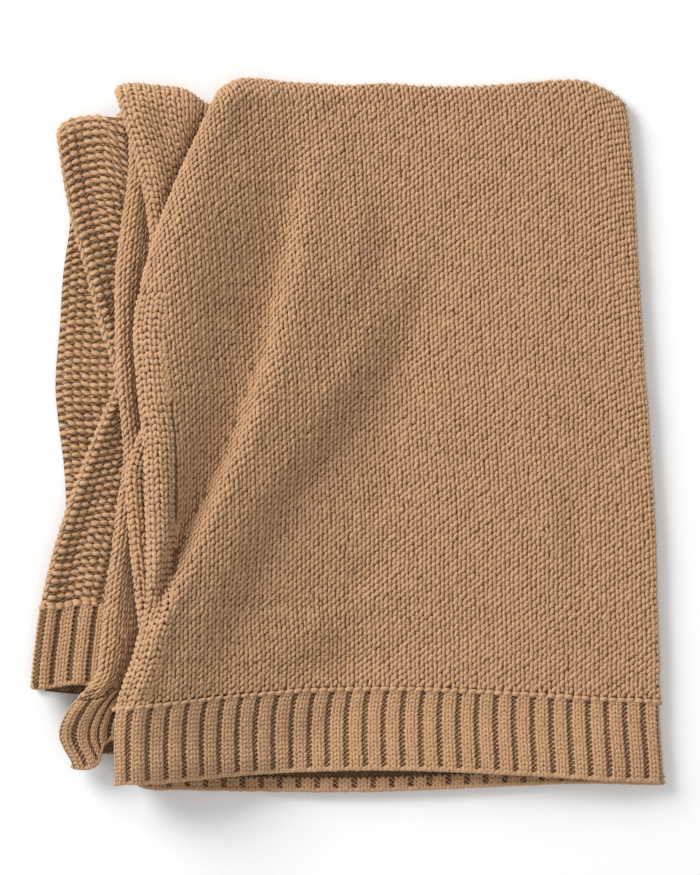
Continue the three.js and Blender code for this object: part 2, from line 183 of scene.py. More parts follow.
@dataclass(frozen=True)
class FoldPlan:
    """How the throw is folded, in millimetres: its fold lines, outline, hems and soft forms."""

    cloth: float = 2.0
    pitch: float = 3.85
    lift: float = 1.2
    border: float = 73.0
    link_gap: float = 0.8
    slope: float = 0.5
    slope_right: float = 0.28
    margin: float = 15.0
    hem_fade: float = 85.0
    turn_station: float = 300.0
    pleated_length: float = 765.0
    back_length: float = 715.0
    main_return: float = 26.0
    second_return: float = 46.0
    shift: tuple = (-0.3, -0.5)
    # y, mainRight, mainLeft, secondLeft, rollLeft, outerLeft, innerLeft
    fold_lines: SmoothTable = SmoothTable((
        (350, 240, -112, -213, -204, -274, -268),
        (300, 254, -125, -206, -200, -268, -262),
        (250, 260, -147, -191, -198, -261, -256),
        (200, 263, -167, -181, -204, -252, -253),
        (150, 266, -183, -179, -210, -238, -260),
        (100, 269, -193, -185, -211, -225, -263),
        (50, 272, -190, -182, -209, -211, -267),
        (20, 275, -187, -183, -206, -223, -265),
        (-5, 276, -184, -192, -204, -233, -262),
        (-30, 278, -183, -201, -204, -243, -259),
        (-60, 280, -182, -200, -209, -254, -257),
        (-100, 282, -181, -197, -214, -267, -258),
        (-150, 283, -183, -192, -221, -279, -266),
        (-200, 285, -194, -187, -226, -286, -273),
        (-222, 285, -202, -194, -231, -288, -275),
        (-248, 286, -210, -202, -255, -290, -278),
        (-272, 287, -212, -204, -264, -290, -278),
        (-300, 289, -212, -204, -252, -290, -278),
        (-350, 290, -212, -204, -252, -290, -278),
    ))
    # x, y of the far fold
    far_outline: SmoothTable = SmoothTable((
        (-290, 263), (-264, 281), (-252, 293), (-228, 303), (-213, 307), (-203, 317),
        (-188, 321), (-170, 321), (-150, 319), (-134, 315), (-121, 316), (-106, 325),
        (-90, 329), (-72, 329), (0, 325), (90, 320), (145, 322),
        (205, 326), (222, 325), (237, 319), (250, 309), (262, 296),
    ))
    # layer, place along it, front hem, back hem
    hems: SmoothTable = SmoothTable(tuple(
        (path_of(layer, along), front, back) for layer, along, front, back in (
            ("tail", 0, -285, -280), ("tail", 0.9, -292, -285), ("tail", 1, -299, -286),
            ("roll", 0, -302, -286), ("roll", 0.12, -302, -287), ("roll", 0.23, -297, -288),
            ("roll", 0.41, -276, -289), ("roll", 1, -276, -290),
            ("second_under", 0, -280, -292), ("second_under", 1, -281, -294),
            ("second", 0, -281, -296), ("second", 1, -284, -298),
            ("main_under", 0, -286, -300), ("main_under", 1, -313, -314),
            ("main", 0, -314, -315), ("main", 0.25, -306, -316), ("main", 0.5, -303, -317),
            ("main", 0.75, -308, -316), ("main", 1, -315, -312),
            ("back", 0, -317, -311), ("back", 0.14, -316, -306), ("back", 0.45, -323, -304),
            ("back", 0.64, -323, -300), ("back", 0.77, -321, -270), ("back", 0.84, -316, -250),
            ("back", 0.875, -284, -240), ("back", 0.9, -232, -232), ("back", 1, -229, -230),
            ("back_under", 0, -230, -230), ("back_under", 1, -236, -232),
            ("last", 0, -237, -233), ("last", 1, -232, -230),
        )))
    # y, then x and height of the rolled edge, valley, ridge, shoulder and foot
    panel: SmoothTable = SmoothTable((
        (326, -93, 3, -50, 0, 0, 1, 30, 1, 66, 0),
        (260, -114, 6, -52, -2, -20, 2, 30, 1, 66, 0),
        (215, -134, 10, -56, -5, -30, 5, 34, 3, 75, 0),
        (170, -146, 11, -64, -8, -40, 10, 26, 6, 75, 0),
        (124, -154, 11, -75, -9, -51, 13, 16, 9, 70, -1),
        (79, -160, 10, -86, -9, -63, 14, 2, 10, 55, -2),
        (33, -162, 9, -98, -9, -77, 15, -32, 12, 28, -2),
        (-12, -163, 9, -114, -9, -95, 16, -61, 13, -2, -2),
        (-57, -166, 8, -134, -9, -116, 16, -93, 14, -38, -2),
        (-102, -169, 7, -153, -8, -136, 15, -116, 14, -61, -2),
        (-148, -181, 5, -172, -5, -157, 14, -134, 12, -81, -2),
        (-193, -196, 3, -189, 2, -176, 12, -154, 11, -102, -1),
        (-238, -206, 2, -201, 3, -188, 9, -166, 8, -111, 0),
        (-330, -206, 1, -200, 3, -180, 5, -165, 4, -107, 0),
    ))
    # x and y of both ends, height, width
    creases: tuple = (
        (-88, -202, 95, -112, 3.2, 17),
        (-60, -222, 130, -172, -2.2, 15),
        (175, 300, 172, -190, 1.6, 26),
        (206, -36, 212, -130, -2.4, 13),
        (183, -30, 186, -140, 1.6, 11),
        (14, 232, -2, 130, 2.4, 14),
        (42, 205, 20, 120, -1.8, 12),
        (72, 215, 40, 96, 1.8, 15),
        (-22, 268, -44, 180, 1.8, 10),
        (95, 190, 50, 60, -1.8, 16),
        (-4, 322, -26, 262, -1.6, 9),
        (30, -40, 120, 60, 1.2, 26),
        (-20, -130, 60, -60, 1.6, 20),
    )
    # height, inset and width of the plump edge of a layer
    plump: dict = field(default_factory=lambda: {
        "roll": (6.0, 8.0, 10.0),
        "second": (7.0, 12.0, 15.0),
        "main": (8.0, 11.0, 14.0),
        "back": (10.0, 7.0, 9.0),
        "last": (3.0, 10.0, 10.0),
    })
    # how deep and wide a layer is pressed in where the next one's edge lies on it
    press: dict = field(default_factory=lambda: {
        "last": (12.0, 24.0),
        "back": (8.0, 12.0),
        "roll": (7.0, 11.0),
        "second": (7.0, 11.0),
    })
    # lift of the front hem over the layers under it, its reach along Y, and its fade at the sides
    mouth: tuple = (9.0, 62.0, 60.0)
    foot_fade: float = 60.0
    crease_end: float = 0.35
    press_fade: float = 22.0

    def hem(self, path: np.ndarray, half: Half) -> np.ndarray:
        """Where the hem of a half lies along Y."""
        return self.hems.at(path, half.value)

    def layer_ends(self, y: np.ndarray) -> list:
        """The two ends of every layer at stations along Y.

        Args:
            y: the stations.

        Returns:
            A pair of arrays for each layer, in the order of the cloth.
        """
        main_right, main_left, second_left, roll_left, outer_left, inner_left = (
            self.fold_lines.at(y, column) for column in range(1, 7)
        )
        second_right = np.maximum(main_left, second_left) + self.main_return
        roll_right = np.maximum(second_left, roll_left) + self.second_return
        pleats = (main_right - main_left + (second_right - main_left)
                  + (second_right - second_left) + (roll_right - second_left)
                  + (roll_right - roll_left))
        tail_end = roll_left + (self.pleated_length - pleats)
        spare = self.back_length - (main_right - outer_left)
        back_fold = (spare + outer_left + inner_left) / 2
        turns = [tail_end, roll_left, roll_right, second_left, second_right, main_left,
                 main_right, outer_left, back_fold, inner_left]
        return list(zip(turns[:-1], turns[1:]))

    def cover(self, name: str, y: np.ndarray) -> np.ndarray:
        """Where the edges that lie over a layer begin.

        Args:
            name: the layer.
            y: stations.

        Returns:
            The x of the left-most edge over it, at each station.
        """
        return np.min([self.fold_lines.at(y, column) for column in EDGES_OVER[name]], axis=0)

    def main_relief(self, x: np.ndarray, y: np.ndarray, left: np.ndarray,
                    right: np.ndarray) -> np.ndarray:
        """The soft folds that stand up on the main panel.

        Args:
            x: places across.
            y: stations.
            left: the panel's left end at those stations.
            right: the panel's right end.

        Returns:
            Heights to add, in millimetres.
        """
        x, y = np.broadcast_arrays(x, y)
        knots = [self.panel.at(y, column) for column in range(1, 11)]
        places = [np.broadcast_to(left, y.shape), *knots[0::2]]
        heights = [np.zeros_like(knots[1]), *knots[1::2]]
        relief = np.where(x >= places[-1], heights[-1], 0.0)
        for i in range(len(places) - 1):
            gap = np.maximum(places[i + 1] - places[i], 1.0)
            between = (x >= places[i]) & (x < places[i + 1])
            f = smooth_step((x - places[i]) / gap)
            relief = np.where(between, heights[i] + (heights[i + 1] - heights[i]) * f, relief)
        past = x - places[-1]
        relief = relief - heights[-1] * smooth_step(past / self.foot_fade) * (past > 0)
        for x0, y0, x1, y1, height, width in self.creases:
            span = (x1 - x0) ** 2 + (y1 - y0) ** 2
            f = np.clip(((x - x0) * (x1 - x0) + (y - y0) * (y1 - y0)) / span, 0, 1)
            away = np.hypot(x - x0 - f * (x1 - x0), y - y0 - f * (y1 - y0))
            ends = self.crease_end + (1 - self.crease_end) * np.sin(math.pi * f)
            relief = relief + height * ends * np.exp(-((away / width) ** 2))
        lift, reach, inset = self.mouth
        inside = smooth_step((x - left) / inset) * smooth_step((right - x) / inset)
        hem = self.hem(path_of("main", 0.5), Half.FRONT)
        return relief + lift * inside * smooth_step((hem + reach - y) / reach)


@dataclass
class FoldedCloth:
    """The middle surface of the folded cloth, worked out once on a grid of stations."""

    plan: FoldPlan = field(default_factory=FoldPlan)
    step: float = 4.0
    reach: float = 316.0
    reach_y: float = 332.0
    softening: int = 8
    layer_samples: int = 60
    fold_samples: int = 10
    fold_rounds: int = 3
    slant_reach: float = 12.0

    def __post_init__(self) -> None:
        """Works out the drape and the sections of both halves."""
        self.grid_x = np.arange(-self.reach, self.reach + 0.1, self.step)
        self.grid_y = np.arange(-self.reach_y, self.reach_y + 0.1, self.step)
        self.ends = self.plan.layer_ends(self.grid_y)
        self.levels, self.top = self._drape()
        self.paths = self._path_samples()
        self.sections = {half: self._section(half) for half in Half}

    def _drape_over(self, heap: np.ndarray) -> np.ndarray:
        """The soft surface that a layer takes over a heap, no steeper than cloth hangs."""
        over = heap.copy()
        count = over.shape[1]
        for i in range(1, count):
            over[:, i] = np.maximum(over[:, i], over[:, i - 1] - self.plan.slope_right * self.step)
        for i in range(count - 2, -1, -1):
            over[:, i] = np.maximum(over[:, i], over[:, i + 1] - self.plan.slope * self.step)
        for _ in range(self.softening):
            wide = np.pad(over, ((0, 0), (1, 1)), mode="edge")
            over = (wide[:, :-2] + 2 * over + wide[:, 2:]) / 4
        return over

    def _drape(self) -> tuple:
        """Lays every layer on those below it.

        Returns:
            The middle heights of each layer by half, and the height of the whole heap.
        """
        plan = self.plan
        x, y = self.grid_x[None, :], self.grid_y[:, None]
        heap = np.full((len(self.grid_y), len(self.grid_x)), plan.lift)
        levels = {half: {} for half in Half}
        order = [(name, Half.BACK) for name in reversed(FRONT_STACK)]
        order += [(name, Half.FRONT) for name in FRONT_STACK]
        for name, half in order:
            k = LAYERS.index(name)
            start, end = (edge[:, None] for edge in self.ends[k])
            low, high = np.minimum(start, end), np.maximum(start, end)
            under = self._drape_over(heap)
            wide = np.pad(under, ((0, 0), (1, 1)), mode="edge")
            rise = (wide[:, 2:] - wide[:, :-2]) / (2 * self.step)
            stretch = np.hypot(1, rise)
            covered = (np.clip((x - low + plan.margin) / self.step, 0, 1)
                       * np.clip((high + plan.margin - x) / self.step, 0, 1))
            along = np.clip((x - start) / (end - start), 0, 1)
            shown = covered * smooth_step((y - plan.hem(2 * k + along, half)) / plan.hem_fade + 1)
            if name in plan.plump and half is Half.FRONT:
                height, inset, width = plan.plump[name]
                edge = np.exp(-(((x - low - inset) / width) ** 2))
                under = under + height * np.where(x < low + inset, np.sqrt(edge), edge)
            heap = heap + (under + plan.pitch * stretch - heap) * shown
            levels[half][k] = under + plan.cloth / 2 * stretch
        self._press(levels, order)
        k = LAYERS.index("main")
        left, right = (edge[:, None] for edge in self.ends[k])
        levels[Half.FRONT][k] = levels[Half.FRONT][k] + plan.main_relief(x, y, left, right)
        return levels, self._drape_over(heap)

    def _press(self, levels: dict, order: list) -> None:
        """Presses the upper layers in, with all that lies under them, beside the edges over them.

        Args:
            levels: the middle heights of each layer by half, which are changed.
            order: the layers and halves from the floor up.
        """
        x = self.grid_x[None, :]
        lows = {name: np.minimum(*self.ends[LAYERS.index(name)])[:, None] for name in LAYERS}
        for name, (depth, width) in self.plan.press.items():
            place = FRONT_STACK.index(name)
            cover = np.min([lows[over] for over in FRONT_STACK[place + 1:]], axis=0)
            if name == "last":
                cover = lows["back"]
            bare = smooth_step((cover - lows[name]) / self.plan.press_fade)
            dip = depth * bare * np.exp(-(((x - cover - 1) / width) ** 2))
            top = levels[Half.FRONT][LAYERS.index(name)]
            for layer, half in order[:order.index((name, Half.FRONT)) + 1]:
                k = LAYERS.index(layer)
                levels[half][k] = levels[half][k] - dip * levels[half][k] / np.maximum(top, 1.0)

    def _path_samples(self) -> np.ndarray:
        """Closely spaced places along the path, with every fold's ends among them."""
        places = []
        for k in range(len(LAYERS)):
            places.append(2 * k + np.linspace(0, 1, self.layer_samples, endpoint=False))
            if k < len(LAYERS) - 1:
                places.append(2 * k + 1 + np.linspace(0, 1, self.fold_samples, endpoint=False))
        return np.append(np.concatenate(places), PATH_END)

    def _level(self, levels: np.ndarray, x: np.ndarray) -> np.ndarray:
        """Reads a height at one or more x for every station."""
        place = np.clip((x + self.reach) / self.step, 0, len(self.grid_x) - LAST_CELL)
        i = place.astype(int)
        rows = np.arange(len(self.grid_y))
        if place.ndim == 2:
            rows = rows[:, None]
        return levels[rows, i] + (levels[rows, i + 1] - levels[rows, i]) * (place - i)

    def _fold(self, half: Half, k: int) -> tuple:
        """Where the fold after layer k begins, on its inner side: x, side and both heights."""
        start, outline = self.ends[k]
        side = np.where(outline > start, 1.0, -1.0)
        before, after = self.levels[half][k], self.levels[half][k + 1]
        inset = np.full(len(outline), (self.plan.pitch + self.plan.cloth) / 2)
        for _ in range(self.fold_rounds):
            x = outline - side * inset
            gap = np.abs(self._level(before, x) - self._level(after, x))
            inset = (gap + self.plan.cloth) / 2
        x = outline - side * inset
        return x, side, self._level(before, x), self._level(after, x)

    def _section(self, half: Half) -> tuple:
        """The section of a half at every station: x and z at the path samples."""
        xs = np.zeros((len(self.grid_y), len(self.paths)))
        zs = np.zeros_like(xs)
        folds = [self._fold(half, k) for k in range(len(LAYERS) - 1)]
        for k in range(len(LAYERS)):
            here = (self.paths >= 2 * k) & (self.paths <= 2 * k + 1)
            f = self.paths[here] - 2 * k
            start = folds[k - 1][0] if k > 0 else self.ends[k][0]
            end = folds[k][0] if k < len(LAYERS) - 1 else self.ends[k][1]
            xs[:, here] = start[:, None] + (end - start)[:, None] * f
            zs[:, here] = self._level(self.levels[half][k], xs[:, here])
            if k == len(LAYERS) - 1:
                break
            turn = (self.paths > 2 * k + 1) & (self.paths < 2 * k + 2)
            angle = math.pi * (self.paths[turn] - 2 * k - 1)
            x, side, before, after = (value[:, None] for value in folds[k])
            xs[:, turn] = x + side * np.abs(after - before) / 2 * np.sin(angle)
            zs[:, turn] = (before + after) / 2 + (before - after) / 2 * np.cos(angle)
        return xs, zs

    def section_point(self, y: np.ndarray, half: Half, path: np.ndarray) -> tuple:
        """Where the middle of the cloth lies in the section at Y.

        Args:
            y: stations.
            half: which half of the throw.
            path: places along the cloth.

        Returns:
            Arrays of x and z.
        """
        xs, zs = self.sections[half]
        row = (y - self.grid_y[0]) / self.step
        column = np.interp(path, self.paths, np.arange(len(self.paths)))
        return read_grid(xs, row, column), read_grid(zs, row, column)

    def turn_line(self, path: np.ndarray) -> np.ndarray:
        """The Y of the line about which the layers turn over at the far end."""
        station = np.full_like(path, self.plan.turn_station)
        x, _ = self.section_point(station, Half.FRONT, path)
        row = int(round((self.plan.turn_station - self.grid_y[0]) / self.step))
        top = np.interp(x, self.grid_x, self.top[row])
        radius = (top - self.plan.lift - self.plan.pitch) / 2
        return self.plan.far_outline.at(x, 1) - radius - self.plan.cloth / 2

    def point(self, path: np.ndarray, along: np.ndarray) -> np.ndarray:
        """The middle of the cloth anywhere.

        Args:
            path: places along the folded section.
            along: 0 to 1 from the front hem to the turn, 1 to 2 round it, and 2 to 3 back to
                the other hem.

        Returns:
            Points in millimetres, in the part's frame.
        """
        path, along = np.broadcast_arrays(np.clip(path, 0, PATH_END), along)
        turn = self.turn_line(path)
        front_hem = self.plan.hem(path, Half.FRONT)
        back_hem = self.plan.hem(path, Half.BACK)
        front_y = front_hem + (turn - front_hem) * np.clip(along, -1, 1)
        back_y = turn + (back_hem - turn) * np.clip(along - 2, 0, 2)
        front_x, front_z = self.section_point(front_y, Half.FRONT, path)
        back_x, back_z = self.section_point(back_y, Half.BACK, path)
        angle = math.pi * np.clip(along - 1, 0, 1)
        radius = (front_z - back_z) / 2
        before, _ = self.section_point(turn - self.slant_reach, Half.FRONT, path)
        at_turn, _ = self.section_point(turn, Half.FRONT, path)
        slant = (at_turn - before) / self.slant_reach
        x = ((front_x + back_x) / 2 + (front_x - back_x) / 2 * np.cos(angle)
             + slant * radius * np.sin(angle))
        z = (front_z + back_z) / 2 + radius * np.cos(angle)
        y = turn + radius * np.sin(angle)
        x, y, z = (np.where(along <= 1, front, np.where(along >= 2, back, turned))
                   for front, back, turned in ((front_x, back_x, x), (front_y, back_y, y),
                                               (front_z, back_z, z)))
        return np.stack([x + self.plan.shift[0], y + self.plan.shift[1], z], axis=-1)


@dataclass
class Patch:
    """A part of the cloth laid out in wales and courses.

    A wale number counts stitches along the cloth's width from the reference line, and a course
    number counts rows from the border's joint, round the far turn, to the other border.
    """

    cloth: FoldedCloth
    path_low: float
    path_high: float
    path_ref: float
    wale: float
    course: float
    samples: int = 360
    half: Half | None = None
    start: float = 0.0
    span: float = 0.0
    steps: int = 60
    body_margin: float = 0.3
    rib_margin: float = 0.05

    def __post_init__(self) -> None:
        """Lays out the grid of points and normals."""
        self.paths = np.linspace(self.path_low, self.path_high, self.samples)
        steps = np.linspace(0, 1, self.steps + 1)
        self.stations = np.concatenate([steps, 1 + steps[1:], 2 + steps[1:]])
        points = self.cloth.point(self.paths[None, :], self.stations[:, None])
        self.reach = run(points, 0)
        if self.half is None:
            self.last = float(round((self.reach[-1].mean() - 2 * self.start) / self.course))
        else:
            self.last = self.span / self.course
        self.rows = np.arange(-1.0, self.last + 1.01, 0.5)
        self._lay_out()

    def along(self) -> np.ndarray:
        """The place along the throw's length of each row, at each path sample.

        Rows lie at even lengths along the cloth, and run straight on past its hems.
        """
        whole = self.reach[-1]
        if self.half is None:
            lengths = self.start + self.rows[:, None] * (whole - 2 * self.start) / self.last
        elif self.half is Half.FRONT:
            lengths = self.rows[:, None] * self.course + 0 * whole
        else:
            lengths = whole - (self.last - self.rows[:, None]) * self.course
        columns = [np.interp(lengths[:, i], self.reach[:, i], self.stations)
                   + np.minimum(lengths[:, i], 0) / self.reach[self.steps, i]
                   + np.maximum(lengths[:, i] - whole[i], 0) / self.reach[self.steps, i]
                   for i in range(self.samples)]
        return np.stack(columns, axis=1)

    def _lay_out(self) -> None:
        """Works out the points at every half stitch, and the face's direction there."""
        along = self.along()
        points = self.cloth.point(self.paths[None, :], along)
        lengths = run(points, 1)
        at_ref = np.array([np.interp(self.path_ref, self.paths, row) for row in lengths])
        wales = (lengths - at_ref[:, None]) / self.wale
        if self.half is not None:
            wales = np.broadcast_to(wales[len(wales) // 2], wales.shape)
        self.low, self.high = wales[:, 0], wales[:, -1]
        self.columns = np.arange(math.floor(wales.min()), math.ceil(wales.max()) + 0.01, 0.5)
        path_grid = np.array([np.interp(self.columns, row, self.paths) for row in wales])
        self.alongs = np.array([np.interp(path, self.paths, row)
                                for path, row in zip(path_grid, along)])
        self.points = self.cloth.point(path_grid, self.alongs)
        self.normals = facing(self.points)

    def _read(self, table: np.ndarray, a: np.ndarray, b: np.ndarray) -> np.ndarray:
        """Reads a grid at wale a and course b."""
        return read_grid(table, (b - self.rows[0]) * 2, (a - self.columns[0]) * 2)

    def surface(self, a: np.ndarray, b: np.ndarray) -> tuple:
        """The middle of the cloth and its direction at wale a and course b."""
        normal = self._read(self.normals, a, b)
        normal = normal / np.maximum(np.linalg.norm(normal, axis=-1, keepdims=True), TINY)
        return self._read(self.points, a, b), normal

    def place(self, a: np.ndarray, b: np.ndarray) -> np.ndarray:
        """The place along the throw's length at wale a and course b."""
        return self._read(self.alongs, a, b)

    def holds(self, a: np.ndarray, b: np.ndarray) -> np.ndarray:
        """Whether the cloth reaches to wale a at course b."""
        low = np.interp(b, self.rows, self.low)
        high = np.interp(b, self.rows, self.high)
        margin = self.body_margin if self.half is None else self.rib_margin
        return (a > low + margin) & (a < high - margin)

    def stitches(self) -> tuple:
        """Every wale and course of the patch."""
        wales = np.arange(math.floor(self.columns[0]), math.ceil(self.columns[-1]), 1.0)
        courses = np.arange(0, math.floor(self.last + 0.01))
        a, b = np.meshgrid(wales, courses)
        a, b = a.ravel(), b.ravel().astype(float)
        keep = self.holds(a + 0.5, b)
        return a[keep], b[keep]


@dataclass(frozen=True)
class GrainShape:
    """One short visible length of yarn, thick in its middle, as a template of a few faces."""

    around: int = 5
    rings: int = 5
    fullness: float = 0.7

    def template(self) -> tuple:
        """Makes the template.

        Returns:
            Points with x and z across and y from -1 to 1 along, the triangles, and each
            triangle corner's place along and around the yarn.
        """
        shape = bmesh.new()
        uv = shape.loops.layers.uv.new("yarn")
        bmesh.ops.create_uvsphere(shape, u_segments=self.around, v_segments=self.rings,
                                  radius=1.0, calc_uvs=True)
        bmesh.ops.triangulate(shape, faces=shape.faces[:])
        shape.verts.index_update()
        co = np.array([vert.co[:] for vert in shape.verts])
        faces = np.array([[loop.vert.index for loop in f.loops] for f in shape.faces])
        uvs = np.array([[loop[uv].uv[:] for loop in f.loops] for f in shape.faces])
        shape.free()
        ring = np.hypot(co[:, 0], co[:, 1])
        swell = np.where(ring > 1e-5, ring ** self.fullness / np.maximum(ring, 1e-5), 0.0)
        points = np.stack([co[:, 0] * swell, co[:, 2], co[:, 1] * swell], axis=1)
        return points, faces[:, ::-1], uvs[:, ::-1, ::-1]


@dataclass
class YarnMesh:
    """Collects many lengths of yarn and joins them into one mesh."""

    name: str
    points: list = field(default_factory=list)
    faces: list = field(default_factory=list)
    uvs: list = field(default_factory=list)
    tones: list = field(default_factory=list)
    count: int = 0
    uv_shift: float = 7.0

    def add(self, points: np.ndarray, faces: np.ndarray, uvs: np.ndarray,
            tones: np.ndarray) -> None:
        """Adds lengths of yarn.

        Args:
            points: (lengths, template points, 3) in millimetres.
            faces: the template's triangles.
            uvs: the template's corner places.
            tones: one shade for each length.
        """
        lengths, per = points.shape[:2]
        offset = self.count + np.arange(lengths)[:, None, None] * per
        self.points.append(points.reshape(-1, 3))
        self.faces.append((faces[None] + offset).reshape(-1, 3))
        shifted = uvs[None] + np.array([1.0, 0.0]) * (tones[:, None, None, None] * self.uv_shift)
        self.uvs.append(shifted.reshape(-1, 2))
        self.tones.append(np.repeat(tones, per))
        self.count += lengths * per

    def build(self) -> bpy.types.Object:
        """Makes the joined object.

        Returns:
            The object, at the origin.
        """
        points = np.concatenate(self.points) * MM
        faces = np.concatenate(self.faces).astype(np.int32)
        mesh = bpy.data.meshes.new(self.name)
        mesh.vertices.add(len(points))
        mesh.vertices.foreach_set("co", points.ravel())
        mesh.loops.add(faces.size)
        mesh.loops.foreach_set("vertex_index", faces.ravel())
        mesh.polygons.add(len(faces))
        mesh.polygons.foreach_set("loop_start", np.arange(0, faces.size, 3, dtype=np.int32))
        mesh.polygons.foreach_set("use_smooth", np.ones(len(faces), dtype=bool))
        mesh.uv_layers.new(name="yarn").data.foreach_set("uv", np.concatenate(self.uvs).ravel())
        tone = mesh.attributes.new("tone", "FLOAT", "POINT")
        tone.data.foreach_set("value", np.concatenate(self.tones).astype(np.float32))
        mesh.update()
        mesh.validate()
        obj = place_object(self.name, mesh)
        log.info("%s: %d triangles", self.name, len(faces))
        return obj


@dataclass(frozen=True)
class YarnLay:
    """How one length of yarn lies in its stitch.

    Its middle is at shares a and b of the wale and the course. It leans by degrees from the
    wale's line, and its sizes and rise above the cloth are in millimetres.
    """

    a: float
    b: float
    lean: float
    length: float
    width: float
    height: float
    rise: float
    arch: float = 0.5


@dataclass
class Knitter:
    """Lays lengths of yarn over a patch, with the small unevenness of handwork."""

    seed: int
    lean: float = 0.09
    length: float = 0.07
    width: float = 0.06
    height: float = 0.12
    wale_shift: float = 0.025
    course_shift: float = 0.035
    tone: float = 0.17

    def __post_init__(self) -> None:
        """Seeds the unevenness."""
        self.random = np.random.default_rng(self.seed)

    def lay(self, mesh: YarnMesh, patch: Patch, a: np.ndarray, b: np.ndarray, lay: YarnLay,
            shape: GrainShape, face: Face, uneven: float = 1.0) -> None:
        """Adds one length of yarn to each stitch.

        Args:
            mesh: what collects the yarn.
            patch: the cloth that it lies on.
            a: the stitches' wales.
            b: the stitches' courses.
            lay: how each length lies.
            shape: the template.
            face: which face of the cloth it shows on.
            uneven: how uneven the work is.
        """
        if len(a) == 0:
            return
        points, faces, uvs = shape.template()
        n = len(a)

        def jitter(size: float) -> np.ndarray:
            """A small random value for each stitch."""
            return self.random.normal(0, size * uneven, n)[:, None]

        side, t, up = points[:, 0][None], points[:, 1][None], points[:, 2][None]
        lean = math.radians(lay.lean) + jitter(self.lean)
        length = lay.length * (1 + jitter(self.length))
        width = lay.width * (1 + jitter(self.width))
        across = side * width * np.cos(lean) + t * length / 2 * np.sin(lean)
        forward = -side * width * np.sin(lean) + t * length / 2 * np.cos(lean)
        sink = lay.arch * (1 - np.cos(t * math.pi / 2)) * lay.height * 2
        high = lay.rise + up * lay.height - sink + jitter(self.height)
        place_a = a[:, None] + lay.a + jitter(self.wale_shift) + across / patch.wale
        place_b = b[:, None] + lay.b + jitter(self.course_shift) + forward / patch.course
        base, normal = patch.surface(place_a, place_b)
        out = base + normal * (face.value * high)[..., None]
        out[..., 2] = np.maximum(out[..., 2], 0.0)
        tones = np.clip(self.random.normal(0.5, self.tone, n), 0, 1)
        turned = faces if face is Face.KNIT else faces[:, ::-1]
        turned_uvs = uvs if face is Face.KNIT else uvs[:, ::-1]
        mesh.add(out, turned, turned_uvs, tones)


@dataclass
class NodeTree:
    """A node material, with short ways to add nodes and join them."""

    name: str

    def __post_init__(self) -> None:
        """Makes the material."""
        self.material = bpy.data.materials.new(self.name)
        self.material.use_nodes = True
        self.nodes, self.links = self.material.node_tree.nodes, self.material.node_tree.links
        self.shader = self.nodes["Principled BSDF"]

    def feed(self, node: bpy.types.Node, inputs: dict) -> None:
        """Sets a node's inputs, or joins them where the value is another node's output."""
        for key, value in inputs.items():
            if isinstance(value, bpy.types.NodeSocket):
                self.links.new(value, node.inputs[key])
            else:
                node.inputs[key].default_value = value

    def add(self, kind: str, inputs: dict | None = None) -> bpy.types.Node:
        """Adds a node of a kind and feeds it."""
        node = self.nodes.new(kind)
        self.feed(node, inputs or {})
        return node

    def math(self, operation: str, *values: object) -> bpy.types.NodeSocket:
        """Adds a math node and gives its output."""
        node = self.nodes.new("ShaderNodeMath")
        node.operation = operation
        self.feed(node, dict(enumerate(values)))
        return node.outputs[0]

    def map(self, name: str) -> tuple:
        """The two places of a UV map."""
        uv = self.nodes.new("ShaderNodeUVMap")
        uv.uv_map = name
        split = self.add("ShaderNodeSeparateXYZ", {"Vector": uv.outputs["UV"]})
        return split.outputs["X"], split.outputs["Y"]

    def colour(self, dark: tuple, light: tuple, share: bpy.types.NodeSocket) -> None:
        """Colours the shader between two shades."""
        mix = self.nodes.new("ShaderNodeMix")
        mix.data_type = "RGBA"
        self.feed(mix, {"A": (*dark, 1.0), "B": (*light, 1.0), "Factor": share})
        self.feed(self.shader, {"Base Color": mix.outputs["Result"]})

    def bump(self, strength: float, distance: float, inputs: dict) -> bpy.types.NodeSocket:
        """Adds a bump and gives its normal."""
        node = self.add("ShaderNodeBump", {"Strength": strength, "Distance": distance})
        self.feed(node, inputs)
        return node.outputs["Normal"]


